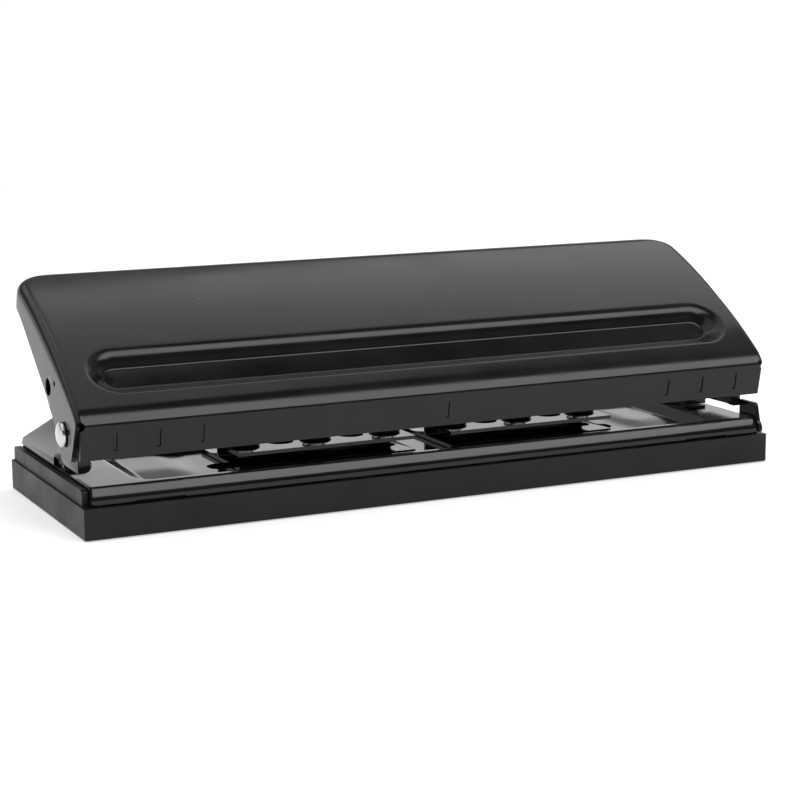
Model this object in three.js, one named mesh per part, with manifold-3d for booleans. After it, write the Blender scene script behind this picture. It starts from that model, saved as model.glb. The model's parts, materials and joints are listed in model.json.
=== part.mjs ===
// Two-head desktop paper punch with a pressed steel lever, sliding three-pin heads,
// a pull-out paper guide and a clip-on chip tray. Millimetres, +Z up, the length along X,
// the lever's lip towards -Y. The origin is the middle of the base, on the resting plane.
import * as THREE from "three";
import { mergeVertices } from "three/addons/utils/BufferGeometryUtils.js";
import Module from "manifold-3d";

const wasm = await Module();
wasm.setup();

// ---- driving dimensions ----

const GAP = 0.3;
const TRAY = { halfX: 94, halfY: 31.75, bottom: 0.3, floor: 2.0, top: 7.6, wall: 1.5, corner: 1.2 };
const TRAY_LIP = { outer: 93.4, inner: 91.95, front: -28.2, back: 30.5, top: 11.3, round: 1.2 };
const FOOT = { radius: 5, height: 1.0, x: 84, y: 22 };

const PLATE = { halfX: 91.7, halfY: 30.1, top: 11.9, sheet: 1.0, skirt: 7.9, bend: 3.2 };
const RECESS = { halfX: 80, front: -26.5, back: 12, floor: 10.0, endSlope: 5, sideSlope: 1.4, corner: 0.5 };
const PAN_SHEET = 0.9;

const PIN = { pitch: 19, count: 3, y: -12, radius: 2.5, tip: 13.95, top: 24.9 };
const HEAD = { centre: 28.5, length: 47, front: -20.7, web: -6.2, back: 6, sheet: 0.9 };
const HEAD_LOW = 10.2;
const HEAD_SLOT = { low: 11.1, high: 13.7 };
const HEAD_TRAVEL = 6;
const DIE_RADIUS = 2.8;
const RELIEF_RADIUS = 3.35;
const SLEEVE = { bore: 2.75, body: 3.05, collar: 4.0, collarLow: 14.8, top: 15.3 };
const SCREW = { y: 1, spread: 14, shank: 1.3, head: 2.6, headHigh: 1.5, low: 6.9, clearance: 1.6 };
const CLAMP = { low: 7.4, high: 8.8, front: -2, back: 4, inset: 4 };
const CLIP = { low: 23.35, thick: 0.5, inner: 2.3, outer: 4.2, mouth: 0.9, groove: 2.0 };
const SPRING = { wire: 0.3, radius: 3.05, turns: 5.5, stepsPerTurn: 8, low: 15.62, high: 23.03 };

const PIVOT = { y: -18.5, z: 22.8 };
const RIVET = { shank: 1.8, head: 3.05, domeHigh: 1.5, face: 94.55, tail: 89.2, tailThick: 1.0 };
const WASHER = { inner: 92.45, outer: 92.85, bore: 2.1, rim: 5 };
const BRACKET = { outer: 92.2, sheet: 1.5, front: -21.7, under: 13.9, ear: 6.3 };
const BRACKET_FOOT = { inner: 82.6, front: -6.9, back: 27, sheet: 1.2, chamfer: [3.6, 6.2] };
const CHEEK = {
  back: [[27.6, 12.2], [26.5, 14.2]],
  lean: 0.39,
  arch: [-7.3, -6.6, -2.3, -1.6],
  archRise: 0.5,
};
const BRACKET_RIVET = { head: 2.8, top: 1.1, shank: 1.3, bore: 1.6, tail: 2.4, tailLow: 9.6, tailHigh: 10.6 };

const LEVER = { halfX: 94.3, sheet: 1.2, sideFold: 3, rearCorner: 10, lipHalfX: 93.5 };
const LIP_LOW = [-27.9, 17.95];
const LIP_CORNER = [-29.75, 27.6];
const CROWN_START = [-28.6, 28.4];
const CROWN_PULL = [-8.4, 45.6];
const CROWN_END = [17.6, 55.3];
const REAR = { pull: [23.2, 57.4], bendEnd: [25.3, 51.7], low: [25.5, 51.1] };
const FLANGE_REAR = [[19.8, 49.8], [16.2, 47.8]];
const FLANGE_BACK = [-7.9, 27.7];
const FLANGE_NOSE = [
  [-10.6, 25.1], [-12.8, 22.3], [-14.0, 20.0], [-15.4, 17.9], [-17.8, 16.7], [-20.8, 16.6],
];
const FLANGE_LOW_FRONT = [-23.9, 17.3];
const FLANGE_HOLES = [[-7.7, 32.3, 2.1], [-13.0, 33.9, 0.5]];
const RELIEF_TOP = [[-27.2, 27.3], [-25.9, 26.2]];
const LIP_END = [[-33, 12], [-33, 27.9], [-28.2, 27.9], [-26.4, 26.6], [-25, 12]];
const GROOVE = { halfX: 88.5, halfWidth: 8.1, depth: 2.9, wall: 3.6, at: 0.25, sheet: 1.1 };
const GROOVE_END_FLAT = 0.2;
const GROOVE_LIFT = 0.9;
const PRESS_NOSE = { y: -12, z: 26.8, radius: 1.6, halfX: 87, web: 1.2 };
const PRESS_STRAP = { seat: 0.33, drop: 4.6, front: -1, back: 9 };

const GUIDE = { inner: 12, armFront: -27, armBack: -21.6, low: 7.95, high: 8.75, plate: 92.3, thick: 1.2 };
const GUIDE_STOP = {
  top: 15.5,
  round: 1.1,
  roundY: -27.3,
  nose: [[-29.2, 11.4], [-30.3, 9.6], [-30.4, 7.95]],
};
const KEEPERS = { inner: 50, outer: 76 };

const ROUND_STEPS = 16;
const HOLE_STEPS = 14;

// ---- materials ----

const material = (color, roughness, metalness) =>
  new THREE.MeshStandardMaterial({ color, roughness, metalness });
const BLACK_PAINT = material(0x0d0d0e, 0.22, 0.1);
const BLACK_PLASTIC = material(0x18181a, 0.55, 0.0);
const CHROME = material(0xd2d4d6, 0.12, 1.0);
const STEEL = material(0xa9abad, 0.3, 1.0);
const RUBBER = material(0x101010, 0.9, 0.0);

// ---- helpers: closed geometry to solid and back ----

function solid(geometry) {
  const bare = geometry.clone();
  bare.deleteAttribute("normal");
  bare.deleteAttribute("uv");
  const merged = mergeVertices(bare, 1e-4);
  const triVerts = new Uint32Array(merged.index.array);
  const vertProperties = merged.attributes.position.array;
  return new wasm.Manifold(new wasm.Mesh({ numProp: 3, vertProperties, triVerts }));
}

function geometryOf(shape) {
  const mesh = shape.getMesh();
  const geometry = new THREE.BufferGeometry();
  geometry.setAttribute("position", new THREE.BufferAttribute(mesh.vertProperties, 3));
  geometry.setIndex(new THREE.BufferAttribute(mesh.triVerts, 1));
  geometry.computeVertexNormals();
  return geometry;
}

const cut = (body, ...tools) => tools.reduce((left, tool) => left.subtract(tool), body);
const join = (...bodies) => bodies.reduce((left, right) => left.add(right));

// ---- helpers: shapes ----

const vectors = (points) => points.map(([u, v]) => new THREE.Vector2(u, v));

// Extrudes a profile drawn in Y and Z along X.
function alongX(profile, x0, x1) {
  const settings = { depth: x1 - x0, bevelEnabled: false, curveSegments: 6 };
  const geometry = new THREE.ExtrudeGeometry(profile, settings);
  const turn = new THREE.Matrix4().makeBasis(
    new THREE.Vector3(0, 1, 0),
    new THREE.Vector3(0, 0, 1),
    new THREE.Vector3(1, 0, 0),
  );
  return geometry.applyMatrix4(turn).translate(x0, 0, 0);
}

// Extrudes an outline drawn in X and Y along Z.
function alongZ(outline, z0, z1) {
  const settings = { depth: z1 - z0, bevelEnabled: false, curveSegments: 6 };
  return new THREE.ExtrudeGeometry(outline, settings).translate(0, 0, z0);
}

const sideX = (points, x0, x1) => solid(alongX(new THREE.Shape(vectors(points)), x0, x1));

function block(x0, x1, y0, y1, z0, z1) {
  const geometry = new THREE.BoxGeometry(x1 - x0, y1 - y0, z1 - z0);
  return solid(geometry.translate((x0 + x1) / 2, (y0 + y1) / 2, (z0 + z1) / 2));
}

function rodX(radius, x0, x1, y, z, steps = HOLE_STEPS) {
  const geometry = new THREE.CylinderGeometry(radius, radius, x1 - x0, steps);
  return solid(geometry.rotateZ(-Math.PI / 2).translate((x0 + x1) / 2, y, z));
}

function rodZ(radius, z0, z1, x, y, steps = HOLE_STEPS) {
  const geometry = new THREE.CylinderGeometry(radius, radius, z1 - z0, steps);
  return solid(geometry.rotateX(Math.PI / 2).translate(x, y, (z0 + z1) / 2));
}

// Turns a profile of radius and height about Z.
function turned(profile, steps = ROUND_STEPS) {
  return new THREE.LatheGeometry(vectors(profile), steps).rotateX(Math.PI / 2);
}

function roundedRect(x0, x1, y0, y1, r) {
  const outline = new THREE.Shape();
  outline.moveTo(x0 + r, y0);
  outline.lineTo(x1 - r, y0);
  outline.absarc(x1 - r, y0 + r, r, -Math.PI / 2, 0);
  outline.lineTo(x1, y1 - r);
  outline.absarc(x1 - r, y1 - r, r, 0, Math.PI / 2);
  outline.lineTo(x0 + r, y1);
  outline.absarc(x0 + r, y1 - r, r, Math.PI / 2, Math.PI);
  outline.lineTo(x0, y0 + r);
  outline.absarc(x0 + r, y0 + r, r, Math.PI, 1.5 * Math.PI);
  return outline;
}

// A slot with round ends, its end centres at x0 and x1.
function slot(x0, x1, y, r, z0, z1) {
  const outline = new THREE.Shape();
  outline.absarc(x1, y, r, -Math.PI / 2, Math.PI / 2);
  outline.absarc(x0, y, r, Math.PI / 2, 1.5 * Math.PI);
  return solid(alongZ(outline, z0, z1));
}

// A closed body between two convex outlines with equally many points, each at its own height.
function between(low, zLow, high, zHigh) {
  const count = low.length;
  const positions = [];
  for (const p of low) positions.push(p.x, p.y, zLow);
  for (const p of high) positions.push(p.x, p.y, zHigh);
  const faces = [];
  for (let i = 0; i < count; i += 1) {
    const next = (i + 1) % count;
    faces.push(i, next, count + next, i, count + next, count + i);
    if (i > 0 && next > 0) {
      faces.push(0, next, i);
      faces.push(count, count + i, count + next);
    }
  }
  const geometry = new THREE.BufferGeometry();
  geometry.setAttribute("position", new THREE.Float32BufferAttribute(positions, 3));
  geometry.setIndex(faces);
  return geometry;
}

function outlinePoints(x0, x1, y0, y1, r) {
  const points = roundedRect(x0, x1, y0, y1, r).getPoints(5);
  const last = points[points.length - 1];
  if (last.distanceTo(points[0]) < 1e-6) points.pop();
  return points;
}

// A pressed pocket: its mouth at height top, its floor smaller by the two slopes.
function pocket(halfX, y0, y1, floor, top, endSlope, sideSlope, corner, grow = 0) {
  const mouth = outlinePoints(-halfX - grow, halfX + grow, y0 - grow, y1 + grow, corner + endSlope);
  const base = outlinePoints(
    -halfX + endSlope - grow,
    halfX - endSlope + grow,
    y0 + sideSlope - grow,
    y1 - sideSlope + grow,
    corner + endSlope / 2,
  );
  return solid(between(base, floor, mouth, top));
}

const group = new THREE.Group();

function add(name, body, finish, parent = group) {
  const mesh = new THREE.Mesh(body.isBufferGeometry ? body : geometryOf(body), finish);
  mesh.name = name;
  parent.add(mesh);
  return mesh;
}

// ---- chip tray and feet ----

function chipTray() {
  const t = TRAY;
  const outside = solid(alongZ(roundedRect(-t.halfX, t.halfX, -t.halfY, t.halfY, t.corner), t.bottom, t.top));
  const inX = t.halfX - t.wall;
  const inY = t.halfY - t.wall;
  const inside = block(-inX, inX, -inY, inY, t.floor, t.top + 1);
  const round = TRAY_LIP.round;
  const back = TRAY_LIP.back - round;
  const lip = (front) => {
    const upright = new THREE.Shape();
    upright.moveTo(front, t.top - 2);
    upright.lineTo(front, TRAY_LIP.top - round);
    upright.absarc(front + round, TRAY_LIP.top - round, round, Math.PI, Math.PI / 2, true);
    upright.lineTo(back, TRAY_LIP.top);
    upright.absarc(back, TRAY_LIP.top - round, round, Math.PI / 2, 0, true);
    upright.lineTo(TRAY_LIP.back, t.top - 2);
    return upright;
  };
  const left = solid(alongX(lip(TRAY_LIP.front), -TRAY_LIP.outer, -TRAY_LIP.inner));
  const right = solid(alongX(lip(GUIDE.armBack + 1), TRAY_LIP.inner, TRAY_LIP.outer));
  const seatTop = FOOT.height + 0.2;
  const seats = FEET.map(([, x, y]) => rodZ(FOOT.radius + GAP, t.bottom - 1, seatTop, x, y, ROUND_STEPS));
  return cut(join(cut(outside, inside), left, right), ...seats);
}

const FEET = [
  ["foot_front_left", -FOOT.x, -FOOT.y],
  ["foot_front_right", FOOT.x, -FOOT.y],
  ["foot_back_left", -FOOT.x, FOOT.y],
  ["foot_back_right", FOOT.x, FOOT.y],
];

function foot() {
  const r = FOOT.radius;
  return turned([[0, 0], [r - 0.4, 0], [r, 0.4], [r, FOOT.height], [0, FOOT.height]]);
}

add("chip_tray", chipTray(), BLACK_PLASTIC);
for (const [name, x, y] of FEET) add(name, foot(), RUBBER).position.set(x, y, 0);

// ---- base plate: a pressed sheet with rolled long edges and a sunken pan ----

function basePlate() {
  const p = PLATE;
  const skin = (inset) => {
    const outline = new THREE.Shape();
    const y = p.halfY - inset;
    const r = p.bend - inset;
    const z = p.top - inset;
    outline.moveTo(-y, p.skirt - (inset ? 1 : 0));
    outline.lineTo(-y, z - r);
    outline.absarc(-y + r, z - r, r, Math.PI, Math.PI / 2, true);
    outline.lineTo(y - r, z);
    outline.absarc(y - r, z - r, r, Math.PI / 2, 0, true);
    outline.lineTo(y, p.skirt - (inset ? 1 : 0));
    return outline;
  };
  const outside = solid(alongX(skin(0), -p.halfX, p.halfX));
  const inside = solid(alongX(skin(p.sheet), -p.halfX - 1, p.halfX + 1));
  const c = RECESS;
  const over = 0.3;
  const k = (p.top + over - c.floor) / (p.top - c.floor);
  const extra = { end: c.endSlope * (k - 1), side: c.sideSlope * (k - 1) };
  const hollow = pocket(
    c.halfX + extra.end,
    c.front - extra.side,
    c.back + extra.side,
    c.floor,
    p.top + over,
    c.endSlope * k,
    c.sideSlope * k,
    c.corner,
  );
  const pan = pocket(
    c.halfX,
    c.front,
    c.back,
    c.floor - PAN_SHEET,
    p.top - over,
    c.endSlope,
    c.sideSlope,
    c.corner,
    PAN_SHEET * 0.7,
  );
  const through = [c.floor - 3, c.floor + 1];
  const slots = [];
  for (const side of [-1, 1]) {
    const near = HEAD.centre - PIN.pitch;
    const far = HEAD.centre + PIN.pitch + HEAD_TRAVEL;
    const [x0, x1] = [side * near, side * far].sort((a, b) => a - b);
    slots.push(slot(x0, x1, PIN.y, DIE_RADIUS + 0.7, ...through));
    for (const offset of [-SCREW.spread, SCREW.spread]) {
      const rest = side * HEAD.centre + offset;
      const [s0, s1] = [rest, rest + side * HEAD_TRAVEL].sort((a, b) => a - b);
      slots.push(slot(s0, s1, SCREW.y, SCREW.clearance, ...through));
    }
  }
  const holes = BRACKET_RIVETS.map(([, x, y]) => rodZ(BRACKET_RIVET.bore, p.top - 3, p.top + 1, x, y));
  return cut(join(cut(outside, inside), pan), hollow, ...slots, ...holes);
}

const BRACKET_RIVETS = [
  ["left_bracket_rivet_front", -86.5, 6],
  ["left_bracket_rivet_back", -86.5, 21],
  ["right_bracket_rivet_front", 86.5, 6],
  ["right_bracket_rivet_back", 86.5, 21],
];

// ---- side brackets ----

function bracket() {
  const b = BRACKET;
  const f = BRACKET_FOOT;
  const inner = b.outer - b.sheet;
  const cheek = new THREE.Shape();
  const floor = PLATE.top + GAP;
  const c = CHEEK;
  cheek.moveTo(...c.back[0]);
  cheek.lineTo(...c.back[1]);
  cheek.lineTo(PIVOT.y + b.ear * Math.sin(c.lean), PIVOT.z + b.ear * Math.cos(c.lean));
  cheek.absarc(PIVOT.y, PIVOT.z, b.ear, Math.PI / 2 - c.lean, Math.acos((b.front - PIVOT.y) / b.ear));
  cheek.lineTo(b.front, b.under);
  cheek.lineTo(c.arch[0], b.under);
  cheek.lineTo(c.arch[1], b.under + c.archRise);
  cheek.lineTo(c.arch[2], b.under + c.archRise);
  cheek.lineTo(c.arch[3], b.under);
  cheek.lineTo(c.arch[3], floor);
  const wall = solid(alongX(cheek, inner, b.outer));
  const plan = [
    [f.inner + f.chamfer[0], f.front],
    [inner + 0.5, f.front],
    [inner + 0.5, f.back],
    [f.inner, f.back],
    [f.inner, f.front + f.chamfer[1]],
  ];
  const foot = solid(alongZ(new THREE.Shape(vectors(plan)), floor, floor + f.sheet));
  const returnedTop = PIVOT.z - RIVET.head - 2 * GAP;
  const returned = new THREE.Shape();
  returned.moveTo(b.outer - 0.2, b.under);
  returned.lineTo(b.outer - 0.2, returnedTop);
  returned.lineTo(inner - 1.6, returnedTop);
  returned.lineTo(inner - 1.6, b.under + 1.2);
  returned.absarc(inner - 0.4, b.under + 1.2, 1.2, Math.PI, 1.5 * Math.PI);
  const lip = new THREE.ExtrudeGeometry(returned, { depth: b.sheet, bevelEnabled: false, curveSegments: 6 });
  lip.rotateX(Math.PI / 2).translate(0, b.front + b.sheet, 0);
  const bore = rodX(RIVET.shank + GAP, inner - 1, b.outer + 1, PIVOT.y, PIVOT.z);
  const holes = BRACKET_RIVETS.slice(2).map(([, x, y]) => rodZ(BRACKET_RIVET.bore, floor - 1, floor + 3, x, y));
  return cut(join(wall, foot, solid(lip)), bore, ...holes);
}

// A left-hand copy of a right-hand piece.
const mirrored = (body) => body.mirror([1, 0, 0]);

function bracketRivet() {
  const r = BRACKET_RIVET;
  const top = PLATE.top + GAP + BRACKET_FOOT.sheet + 0.25;
  const tail = [[0, r.tailLow], [r.tail, r.tailLow], [r.tail, r.tailHigh], [r.shank, r.tailHigh]];
  const dome = [[r.head, top], [r.head - 0.6, top + r.top - 0.2], [0, top + r.top]];
  return turned([...tail, [r.shank, top], ...dome]);
}

function pivotRivet() {
  const r = RIVET;
  const profile = [[0, r.tail], [r.head, r.tail], [r.head, r.tail + r.tailThick], [r.shank, r.tail + r.tailThick]];
  profile.push([r.shank, r.face], [r.head, r.face]);
  for (const angle of [0.3, 0.65, 1.05]) {
    profile.push([r.head * Math.cos(angle), r.face + 0.25 + (r.domeHigh - 0.25) * Math.sin(angle)]);
  }
  profile.push([0, r.face + r.domeHigh]);
  return turned(profile);
}

function pivotWasher() {
  const w = WASHER;
  return turned([[w.bore, w.inner], [w.rim, w.inner], [w.rim, w.outer], [w.bore, w.outer], [w.bore, w.inner]]);
}

add("base_plate", basePlate(), BLACK_PAINT);
add("right_bracket", bracket(), BLACK_PAINT);
add("left_bracket", mirrored(bracket()), BLACK_PAINT);
for (const [name, x, y] of BRACKET_RIVETS) add(name, bracketRivet(), STEEL).position.set(x, y, 0);
for (const [side, turn] of [["left", -1], ["right", 1]]) {
  const pivot = new THREE.Group();
  pivot.position.set(0, PIVOT.y, PIVOT.z);
  pivot.rotation.y = (turn * Math.PI) / 2;
  add(side + "_pivot_rivet", pivotRivet(), CHROME, pivot);
  add(side + "_pivot_washer", pivotWasher(), BLACK_PLASTIC, pivot);
  group.add(pivot);
}

// ---- lever: one pressed sheet with a front lip, side flanges and a rolled rear edge ----

const bend = (from, pull, to, steps) =>
  new THREE.QuadraticBezierCurve(...vectors([from, pull, to])).getPoints(steps).map((p) => [p.x, p.y]);

const CROWN = new THREE.QuadraticBezierCurve(...vectors([CROWN_START, CROWN_PULL, CROWN_END]));

// The sheet's outer line in Y and Z, from the lip's lower edge over the crown to the rear edge.
function leverLine() {
  const toward = (a, b, length) => {
    const span = Math.hypot(b[0] - a[0], b[1] - a[1]);
    return [a[0] + ((b[0] - a[0]) * length) / span, a[1] + ((b[1] - a[1]) * length) / span];
  };
  const lipTop = toward(LIP_CORNER, LIP_LOW, 1.4);
  const fold = bend(lipTop, LIP_CORNER, CROWN_START, 5);
  const crown = bend(CROWN_START, CROWN_PULL, CROWN_END, 12).slice(1);
  const rear = bend(CROWN_END, REAR.pull, REAR.bendEnd, 6).slice(1);
  return [LIP_LOW, ...fold, ...crown, ...rear, REAR.low];
}

// The same line moved to the inside of the sheet.
function inset(line, distance) {
  return line.map(([y, z], i) => {
    const a = line[Math.max(i - 1, 0)];
    const b = line[Math.min(i + 1, line.length - 1)];
    const span = Math.hypot(b[0] - a[0], b[1] - a[1]);
    return [y + ((b[1] - a[1]) * distance) / span, z - ((b[0] - a[0]) * distance) / span];
  });
}

function leverSide() {
  return [...leverLine(), ...FLANGE_REAR, FLANGE_BACK, ...FLANGE_NOSE, FLANGE_LOW_FRONT];
}

// Turns geometry drawn in X, along the crown's chord and away from it into place on the lever.
function onLever(geometry, origin, angle) {
  return geometry.rotateX(angle).translate(0, origin[0], origin[1]);
}

const CHORD_ANGLE = Math.atan2(CROWN_END[1] - CROWN_START[1], CROWN_END[0] - CROWN_START[0]);
const CHORD_TOP = 2.5;
const REAR_REACH = 5.7;

// The block that rounds the lever's side folds and rear corners.
function leverRounding(shrink) {
  const half = LEVER.halfX - shrink;
  const rise = CHORD_TOP - shrink;
  const section = roundedRect(-half, half, -70, rise, LEVER.sideFold - shrink);
  const settings = { depth: 110, bevelEnabled: false, curveSegments: 6 };
  const lengthwise = new THREE.ExtrudeGeometry(section, settings).rotateX(Math.PI / 2).translate(0, 90, 0);
  const reach = Math.hypot(CROWN_END[0] - CROWN_START[0], CROWN_END[1] - CROWN_START[1]);
  const rearEdge = reach + REAR_REACH - shrink;
  const plan = roundedRect(-half, half, -40, rearEdge, LEVER.rearCorner - shrink);
  const upright = alongZ(plan, -70, 10);
  const place = (geometry) => solid(onLever(geometry, CROWN_START, CHORD_ANGLE));
  return place(lengthwise).intersect(place(upright));
}

function grooveBody(grow, floor, mouth) {
  const g = GROOVE;
  const slope = g.wall;
  const wide = g.halfWidth + grow;
  const top = outlinePoints(-g.halfX - grow, g.halfX + grow, -wide, wide, wide - GROOVE_END_FLAT);
  const base = outlinePoints(
    -g.halfX + slope - grow,
    g.halfX - slope + grow,
    -wide + slope,
    wide - slope,
    wide - slope - GROOVE_END_FLAT,
  );
  const at = CROWN.getPoint(g.at);
  const along = CROWN.getTangent(g.at);
  return solid(onLever(between(base, floor, top, mouth), [at.x, at.y], Math.atan2(along.y, along.x)));
}

function leverCover() {
  const l = LEVER;
  const line = leverLine();
  const inner = inset(line, l.sheet);
  const below = [[inner[inner.length - 1][0], 0], [inner[0][0] + 1, 0]];
  const outside = sideX(leverSide(), -l.halfX, l.halfX).intersect(leverRounding(0));
  const inside = sideX([...inner, ...below], -l.halfX, l.halfX).intersect(leverRounding(l.sheet));
  const pan = grooveBody(GROOVE.sheet * 0.8, -GROOVE.depth - GROOVE.sheet, -0.5);
  const k = (GROOVE.depth + GROOVE_LIFT) / GROOVE.depth;
  const hollow = grooveBody(GROOVE.wall * (k - 1) * 0.2, -GROOVE.depth, GROOVE_LIFT);
  const reliefs = [];
  for (const side of [-1, 1]) {
    const ends = (a, b) => [side * a, side * b].sort((p, q) => p - q);
    const behindLip = [inner[0], inner[1], ...RELIEF_TOP, FLANGE_LOW_FRONT, [FLANGE_LOW_FRONT[0], 12], [-27, 12]];
    reliefs.push(sideX(behindLip, ...ends(l.halfX - l.sheet - 0.4, l.halfX + 1)));
    reliefs.push(sideX(LIP_END, ...ends(l.lipHalfX, l.halfX + 1)));
    reliefs.push(rodX(RIVET.shank + GAP, ...ends(l.halfX - 3, l.halfX + 1), PIVOT.y, PIVOT.z));
    for (const [y, z, r] of FLANGE_HOLES) reliefs.push(rodX(r, ...ends(l.halfX - 3, l.halfX + 1), y, z));
  }
  return cut(join(cut(outside, inside), pan), hollow, ...reliefs);
}

// A folded strip welded under the crown, its round nose resting over the pins.
function pressBar() {
  const n = PRESS_NOSE;
  const { drop, front, back } = PRESS_STRAP;
  const seat = CROWN.getPoint(PRESS_STRAP.seat);
  const along = CROWN.getTangent(PRESS_STRAP.seat);
  const away = [along.y, -along.x];
  const at = (run, fall) => [seat.x + along.x * run + away[0] * fall, seat.y + along.y * run + away[1] * fall];
  const nose = [];
  for (let i = 0; i <= 8; i += 1) {
    const angle = Math.PI - (i * Math.PI) / 8;
    nose.push([n.y + n.radius * Math.cos(angle), n.z - n.radius * Math.sin(angle)]);
  }
  const webTop = at(0, drop + n.web);
  const outline = [
    ...nose,
    [n.y + n.web / 2, n.z + n.radius],
    [n.y + n.web / 2, webTop[1] - 1],
    at(back, drop + n.web),
    at(back, drop),
    at(front, drop),
    [n.y - n.web / 2, webTop[1] - 1.5],
    [n.y - n.web / 2, n.z + n.radius],
  ];
  return sideX(outline, -n.halfX, n.halfX);
}

add("lever_cover", leverCover(), BLACK_PAINT);
add("press_bar", pressBar(), STEEL);

// ---- punch heads, drawn about their own middle and placed at each side ----

const PIN_OFFSETS = [-PIN.pitch, 0, PIN.pitch];

function headFrame() {
  const h = HEAD;
  const half = h.length / 2;
  const low = block(-half, half, h.front, h.back, HEAD_LOW, HEAD_SLOT.low);
  const web = block(-half, half, h.web, h.web + h.sheet, HEAD_LOW, HEAD_SLOT.high + h.sheet);
  const high = block(-half, half, h.front, h.web + h.sheet, HEAD_SLOT.high, HEAD_SLOT.high + h.sheet);
  const tools = [];
  for (const x of PIN_OFFSETS) {
    tools.push(rodZ(DIE_RADIUS, HEAD_LOW - 1, HEAD_SLOT.low + 0.5, x, PIN.y));
    tools.push(rodZ(SLEEVE.body + GAP, HEAD_SLOT.high - 0.5, HEAD_SLOT.high + 2, x, PIN.y));
  }
  for (const x of [-PIN.pitch / 2, PIN.pitch / 2]) {
    tools.push(rodZ(RELIEF_RADIUS, HEAD_SLOT.high - 0.5, HEAD_SLOT.high + 2, x, PIN.y));
  }
  for (const x of [-SCREW.spread, SCREW.spread]) {
    tools.push(rodZ(SCREW.clearance, HEAD_LOW - 1, HEAD_SLOT.low + 1, x, SCREW.y));
  }
  return cut(join(low, web, high), ...tools);
}

function guideSleeve() {
  const s = SLEEVE;
  const low = HEAD_SLOT.high + 0.05;
  return turned([
    [s.bore, low], [s.body, low], [s.body, s.collarLow], [s.collar, s.collarLow], [s.collar, s.top], [s.bore, s.top],
    [s.bore, low],
  ]);
}

function clampPlate() {
  const c = CLAMP;
  const half = HEAD.length / 2 - c.inset;
  const holes = [-SCREW.spread, SCREW.spread].map((x) => rodZ(SCREW.clearance, c.low - 1, c.high + 1, x, SCREW.y));
  return cut(block(-half, half, c.front, c.back, c.low, c.high), ...holes);
}

function headScrew() {
  const s = SCREW;
  const seat = HEAD_SLOT.low + 0.2;
  const top = seat + s.headHigh;
  const profile = [[0, s.low], [s.shank - 0.3, s.low], [s.shank, s.low + 0.3], [s.shank, seat], [s.head, seat]];
  profile.push([s.head, top - 0.6], [s.head - 0.7, top], [0, top]);
  const slotWidth = 0.35;
  const drive = block(-s.head, s.head, -slotWidth, slotWidth, top - 0.6, top + 1);
  return cut(solid(turned(profile)), drive);
}

function punchPin() {
  const p = PIN;
  const neck = CLIP.low - 0.05;
  const neckTop = CLIP.low + CLIP.thick + 0.05;
  return turned([
    [0, p.tip + 0.9], [p.radius - 0.25, p.tip], [p.radius, p.tip], [p.radius, neck], [CLIP.groove, neck],
    [CLIP.groove, neckTop], [p.radius, neckTop], [p.radius, p.top - 0.5], [p.radius - 0.5, p.top], [0, p.top],
  ]);
}

function pinClip() {
  const c = CLIP;
  const outline = new THREE.Shape();
  outline.absarc(0, 0, c.outer, c.mouth, 2 * Math.PI - c.mouth);
  outline.absarc(0, 0, c.inner, 2 * Math.PI - c.mouth, c.mouth, true);
  return alongZ(outline, c.low, c.low + c.thick);
}

class Helix extends THREE.Curve {
  getPoint(t) {
    const s = SPRING;
    const angle = 2 * Math.PI * s.turns * t;
    const height = s.low + s.wire + (s.high - s.low - 2 * s.wire) * t;
    return new THREE.Vector3(s.radius * Math.cos(angle), s.radius * Math.sin(angle), height);
  }
}

function returnSpring() {
  const section = new THREE.Shape();
  section.absarc(0, 0, SPRING.wire, 0, 2 * Math.PI);
  const steps = Math.round(SPRING.turns * SPRING.stepsPerTurn);
  return new THREE.ExtrudeGeometry(section, { steps, extrudePath: new Helix(), curveSegments: 3 });
}

for (const [side, x] of [["left", -HEAD.centre], ["right", HEAD.centre]]) {
  const head = new THREE.Group();
  head.position.x = x;
  add(side + "_head_frame", headFrame(), BLACK_PAINT, head);
  add(side + "_clamp_plate", clampPlate(), STEEL, head);
  for (const [end, offset] of [["inner", -Math.sign(x)], ["outer", Math.sign(x)]]) {
    add(side + "_head_screw_" + end, headScrew(), STEEL, head).position.set(offset * SCREW.spread, SCREW.y, 0);
  }
  PIN_OFFSETS.forEach((offset, i) => {
    const number = i + 1;
    add(side + "_guide_sleeve_" + number, guideSleeve(), BLACK_PAINT, head).position.set(offset, PIN.y, 0);
    add(side + "_pin_" + number, punchPin(), STEEL, head).position.set(offset, PIN.y, 0);
    add(side + "_pin_clip_" + number, pinClip(), STEEL, head).position.set(offset, PIN.y, 0);
    add(side + "_spring_" + number, returnSpring(), CHROME, head).position.set(offset, PIN.y, 0);
  });
  group.add(head);
}

// ---- pull-out paper guide and its keepers ----

function paperGuide() {
  const g = GUIDE;
  const arm = block(g.inner, g.plate + 0.5, g.armFront, g.armBack, g.low, g.high);
  const s = GUIDE_STOP;
  const stop = new THREE.Shape();
  stop.moveTo(g.armBack + 0.4, g.low);
  stop.lineTo(g.armBack + 0.4, s.top);
  stop.absarc(s.roundY, s.top - s.round, s.round, Math.PI / 2, Math.PI * 0.93);
  for (const [y, z] of s.nose) stop.lineTo(y, z);
  return join(arm, solid(alongX(stop, g.plate, g.plate + g.thick)));
}

function guideKeeper(x) {
  const g = GUIDE;
  const sheet = 0.7;
  const half = 3;
  const top = RECESS.floor - PAN_SHEET - 0.2;
  const low = g.low - GAP - sheet;
  const front = g.armFront - GAP;
  const back = g.armBack + GAP;
  const outline = [
    [front - sheet, top], [front - sheet, low], [back + sheet, low], [back + sheet, top - sheet],
    [back + 4, top - sheet], [back + 4, top], [back, top], [back, low + sheet], [front, low + sheet], [front, top],
  ];
  return sideX(outline, x - half, x + half);
}

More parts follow.
